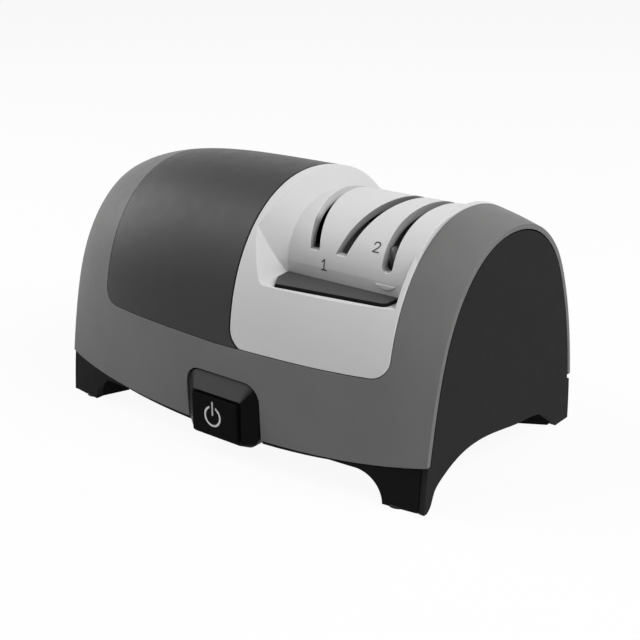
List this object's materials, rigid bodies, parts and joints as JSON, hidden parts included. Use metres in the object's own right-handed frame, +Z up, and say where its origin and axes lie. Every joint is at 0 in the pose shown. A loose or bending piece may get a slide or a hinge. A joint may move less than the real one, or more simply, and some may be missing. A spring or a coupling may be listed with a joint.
{
  "type": "electric knife sharpener",
  "caption": "Tabletop electric knife sharpener with a domed plastic housing, a front power button and a slotted head over motor-driven abrasive wheels.",
  "frame": {"origin": "on the table under the middle of the housing's box", "axes": "+X along the housing from the motor end to the slot end, +Y from the power button to the back, +Z up"},
  "size_m": [0.23, 0.1482, 0.1317],
  "materials": {
    "shell_grey": "satin",
    "cover_charcoal": "satin",
    "panel_charcoal": "satin",
    "base_black": "satin",
    "bezel_black": "semi-gloss",
    "key_black": "satin",
    "head_light_grey": "matte",
    "magnet_grey": "satin",
    "rubber_black": "matte",
    "steel": "brushed",
    "plated_can": "satin",
    "sintered_bronze": "satin",
    "copper_winding": "satin",
    "magnet_ferrite": "matte",
    "lamination": "satin",
    "inner_plastic": "matte",
    "abrasive": "gritty",
    "ceramic": "matte",
    "board_green": "satin",
    "component_black": "satin"
  },
  "bodies": {
    "housing": {"main_shell": "shell_grey", "motor_cover": "cover_charcoal", "sharpening_head": "head_light_grey", "filings_magnet": "magnet_grey", "base_pan": "base_black", "end_panel_left": "panel_charcoal", "end_panel_right": "panel_charcoal", "rubber_feet": "rubber_black", "button_bezel": "bezel_black", "switch_body": "component_black", "motor_can": "plated_can", "motor_end_cap": "inner_plastic", "motor_bush_front": "sintered_bronze", "motor_bush_rear": "sintered_bronze", "motor_magnets": "magnet_ferrite", "brush_holders": "inner_plastic", "wheel_bearing_left": "sintered_bronze", "wheel_bearing_right": "sintered_bronze", "wheel_frame": "inner_plastic", "motor_cradle": "inner_plastic", "motor_straps": "steel", "stone_left": "ceramic", "stone_right": "ceramic", "stone_holder": "inner_plastic", "circuit_board": "board_green", "smoothing_capacitor": "component_black", "bridge_rectifier": "component_black", "cord_gland": "base_black", "case_screws": "steel"},
    "button": {"power_button": "key_black", "switch_plunger": "inner_plastic", "button_spring": "steel"},
    "rotor": {"motor_shaft": "steel", "rotor_core": "lamination", "commutator": "copper_winding", "rotor_windings": "copper_winding", "cooling_fan": "inner_plastic", "shaft_coupling": "inner_plastic", "wheel_shaft": "steel", "retaining_rings": "steel", "wheel_spring": "steel"},
    "left_wheel": {"wheel_left": "abrasive"},
    "right_wheel": {"wheel_right": "abrasive"}
  },
  "joints": [
    {"name": "power_button_press", "type": "slide", "parent": "housing", "child": "button", "axis": [0, 1, 0], "range_m": [0, 0.0025], "stiffness_N_per_m": 600, "deforming": ["button_spring"]},
    {"name": "wheel_spin", "type": "hinge", "parent": "housing", "child": "rotor", "pos_m": [0, -0.012, 0.084], "axis": [1, 0, 0], "continuous": true},
    {"name": "left_wheel_slide", "type": "slide", "parent": "rotor", "child": "left_wheel", "axis": [1, 0, 0], "range_m": [0, 0.0012], "stiffness_N_per_m": 800, "deforming": ["wheel_spring"]},
    {"name": "right_wheel_slide", "type": "slide", "parent": "rotor", "child": "right_wheel", "axis": [-1, 0, 0], "range_m": [0, 0.0012], "stiffness_N_per_m": 800}
  ]
}
